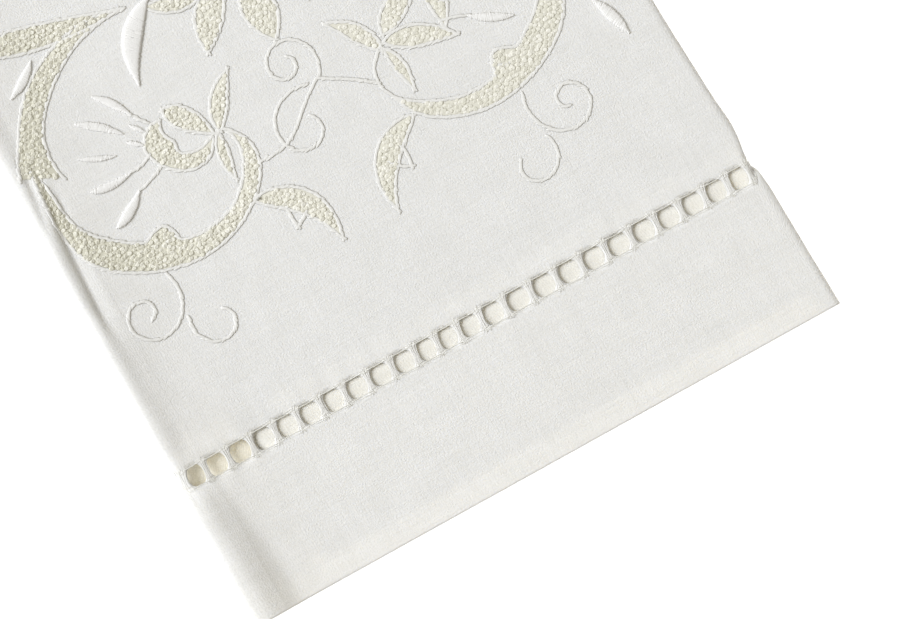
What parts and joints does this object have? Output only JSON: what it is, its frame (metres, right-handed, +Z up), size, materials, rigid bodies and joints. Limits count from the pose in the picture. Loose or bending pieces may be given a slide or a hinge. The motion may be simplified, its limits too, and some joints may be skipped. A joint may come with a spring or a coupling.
{
  "type": "folded hand towel",
  "caption": "White linen hand towel folded lengthwise in three layers, with a deep ladder-hemstitched hem and a rolled fold along one side.",
  "frame": {"origin": "on the surface that the towel lies on, under the middle of the folded towel", "axes": "+X across the folded towel, +Y up its length away from the deep hem, +Z up out of its face"},
  "size_m": [0.1272, 0.5595, 0.0053],
  "materials": {
    "linen": "plain-woven off-white linen, matt"
  },
  "bodies": {
    "root": {"linen_towel": "linen"}
  },
  "joints": []
}
